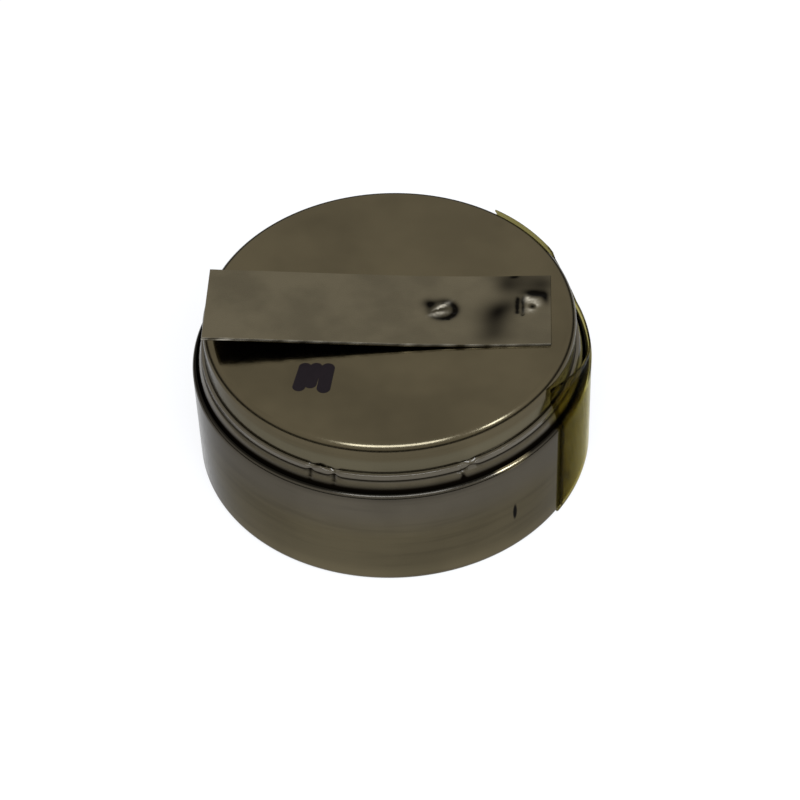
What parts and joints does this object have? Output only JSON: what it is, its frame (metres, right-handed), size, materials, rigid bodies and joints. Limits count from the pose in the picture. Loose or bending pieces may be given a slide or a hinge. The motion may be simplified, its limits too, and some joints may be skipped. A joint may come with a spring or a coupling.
{
  "type": "lithium coin cell",
  "caption": "Small round rechargeable cell: stepped steel housing with a film seal, a welded nickel solder tab and an amber film on one side of the wall.",
  "frame": {"origin": "centre of the cup's flat base", "axes": "+Z along the cell's axis from the cup to the lid; +X towards the welded end of the solder tab and the amber side film"},
  "size_m": [0.0121, 0.012, 0.0061],
  "materials": {
    "cup_steel": "satin",
    "lid_steel": "satin",
    "seal_plastic": "glossy",
    "nickel": "satin",
    "amber_film": "glossy",
    "positive_coating": "matte",
    "negative_coating": "matte",
    "separator_film": "matte",
    "roll_tape_film": "glossy",
    "aluminium_foil": "satin",
    "insulator_film": "matte",
    "marking_ink": "matte"
  },
  "bodies": {
    "root": {"cup": "cup_steel", "lid": "lid_steel", "seal_film": "seal_plastic", "positive_electrode": "positive_coating", "negative_electrode": "negative_coating", "inner_separator": "separator_film", "outer_separator": "separator_film", "roll_tape": "roll_tape_film", "inner_conductor": "aluminium_foil", "outer_conductor": "nickel", "lower_insulator": "insulator_film", "upper_insulator": "insulator_film", "solder_tab": "nickel", "side_film": "amber_film"}
  },
  "joints": []
}
